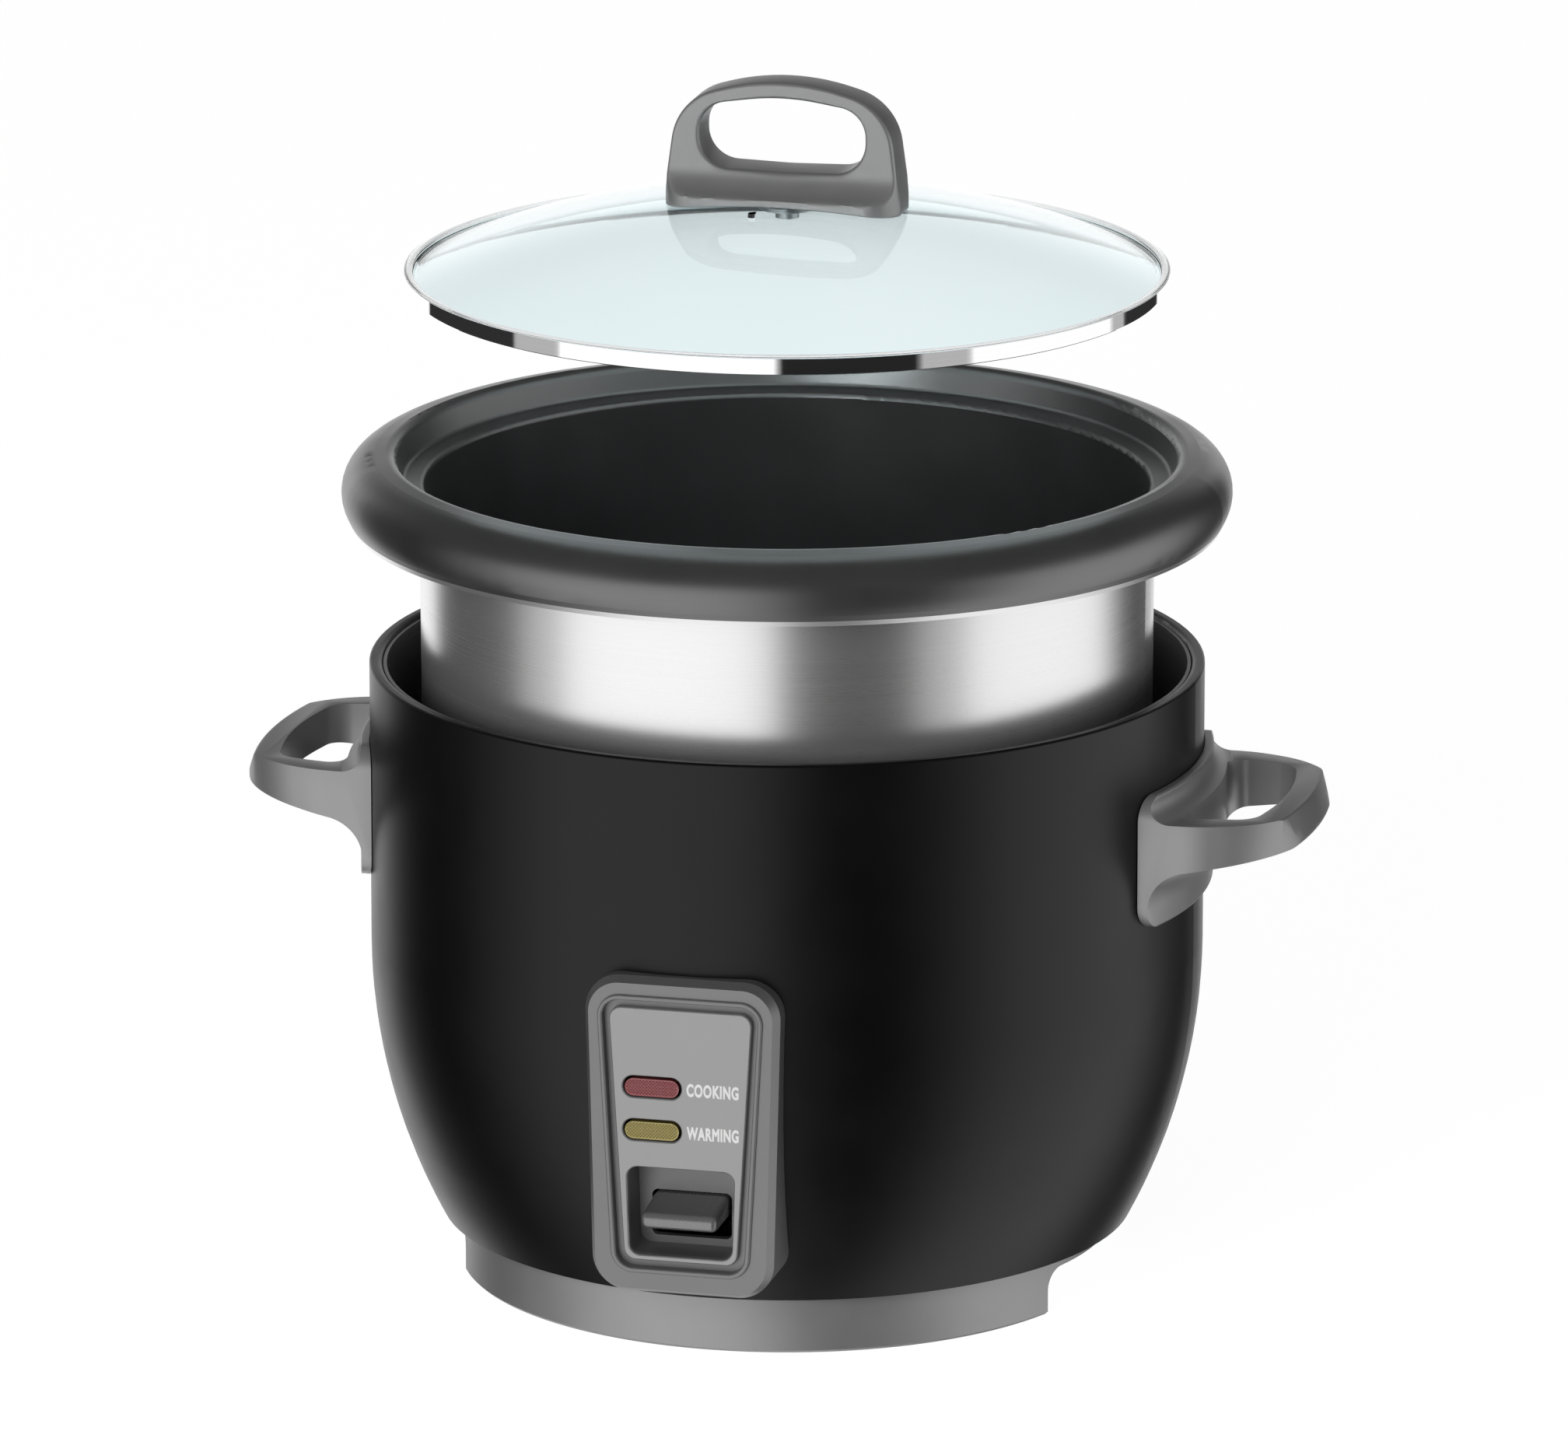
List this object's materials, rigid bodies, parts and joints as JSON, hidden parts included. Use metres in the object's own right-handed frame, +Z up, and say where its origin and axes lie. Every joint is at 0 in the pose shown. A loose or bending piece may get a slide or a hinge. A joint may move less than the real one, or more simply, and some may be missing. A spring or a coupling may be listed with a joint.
{
  "type": "rice cooker",
  "caption": "Electric rice cooker shown taken apart: round black body with side handles and a front cook lever, lift-out pot with a rolled rim, domed glass lid with an arched handle.",
  "frame": {"origin": "centre of the base on the floor, on the cooker's upright axis", "axes": "+Z up; the control panel faces -Y; +X is the right-hand handle seen from the front"},
  "size_m": [0.3132, 0.2556, 0.3496],
  "materials": {
    "black_paint": "satin black stove paint with a fine grain",
    "liner_metal": "dull spun aluminium",
    "grey_plastic": "fine-textured mid grey",
    "plate_steel": "plain galvanised sheet",
    "screw_steel": "zinc plated",
    "heater_alloy": "cast and turned on top",
    "element_steel": "heat-tinted tube",
    "sensor_alloy": "pressed and polished",
    "ferrite": "sintered dark grey",
    "spring_steel": "bright drawn wire",
    "paddle_plastic": "smooth dark grey",
    "face_plastic": "smooth light grey",
    "red_lens": "clear red with a fine cross-hatch",
    "amber_lens": "clear yellow with a fine cross-hatch",
    "lamp_glass": "small clear lamp",
    "black_plastic": "moulded black",
    "pale_plastic": "moulded cream",
    "pin_brass": "bright",
    "pot_coat": "charcoal non-stick inside and on the rim, bare satin outside",
    "dome_glass": "clear, a little blue-green",
    "band_chrome": "bright rolled band"
  },
  "bodies": {
    "body": {"outer_shell": "black_paint", "inner_liner": "liner_metal", "base_ring": "grey_plastic", "bottom_plate": "plate_steel", "support_posts": "plate_steel", "bottom_screws": "screw_steel", "liner_screws": "screw_steel", "side_handle_left": "grey_plastic", "side_handle_right": "grey_plastic", "handle_screws": "screw_steel", "control_panel": "grey_plastic", "panel_face": "face_plastic", "cook_lens": "red_lens", "warm_lens": "amber_lens", "indicator_lamps": "lamp_glass", "lamp_holder": "pale_plastic", "heater_plate": "heater_alloy", "heater_element": "element_steel", "heater_spacers": "plate_steel", "heater_screws": "screw_steel", "sensor_housing": "sensor_alloy", "sensor_spring": "spring_steel", "lever_bracket": "plate_steel", "lever_pin": "screw_steel", "micro_switch": "black_plastic", "terminal_block": "pale_plastic", "thermal_fuse": "sensor_alloy", "fuse_clip": "plate_steel", "power_inlet": "black_plastic", "inlet_pins": "pin_brass"},
    "pot": {"inner_pot": "pot_coat"},
    "lid": {"lid_glass": "dome_glass", "lid_band": "band_chrome", "lid_handle": "grey_plastic", "lid_washer": "screw_steel", "lid_screw": "screw_steel"},
    "lever": {"lever_arm": "plate_steel", "lever_paddle": "paddle_plastic"},
    "magnet": {"magnet": "ferrite", "magnet_rod": "screw_steel"},
    "sensor": {"sensor_cap": "sensor_alloy", "sensor_core": "ferrite"}
  },
  "joints": [
    {"name": "pot_lift", "type": "slide", "parent": "body", "child": "pot", "axis": [0, 0, 1], "range_m": [-0.049, 0.054]},
    {"name": "lid_lift", "type": "slide", "parent": "pot", "child": "lid", "axis": [0, 0, 1], "range_m": [-0.056, 0.02]},
    {"name": "cook_lever", "type": "hinge", "parent": "body", "child": "lever", "pos_m": [0, -0.052, 0.033], "axis": [1, 0, 0], "range_deg": [0, 5], "stiffness_Nm_per_rad": 0.5, "springref_deg": -5.73},
    {"name": "magnet_slide", "type": "slide", "parent": "body", "child": "magnet", "axis": [0, 0, 1], "range_m": [0, 0.0046]},
    {"name": "sensor_press", "type": "slide", "parent": "body", "child": "sensor", "axis": [0, 0, 1], "range_m": [-0.0025, 0], "stiffness_N_per_m": 300, "springref_m": 0.005, "deforming": ["sensor_spring"]}
  ],
  "couplings": [
    {"joint": "magnet_slide", "follows": "cook_lever", "m_per_rad": 0.052}
  ]
}
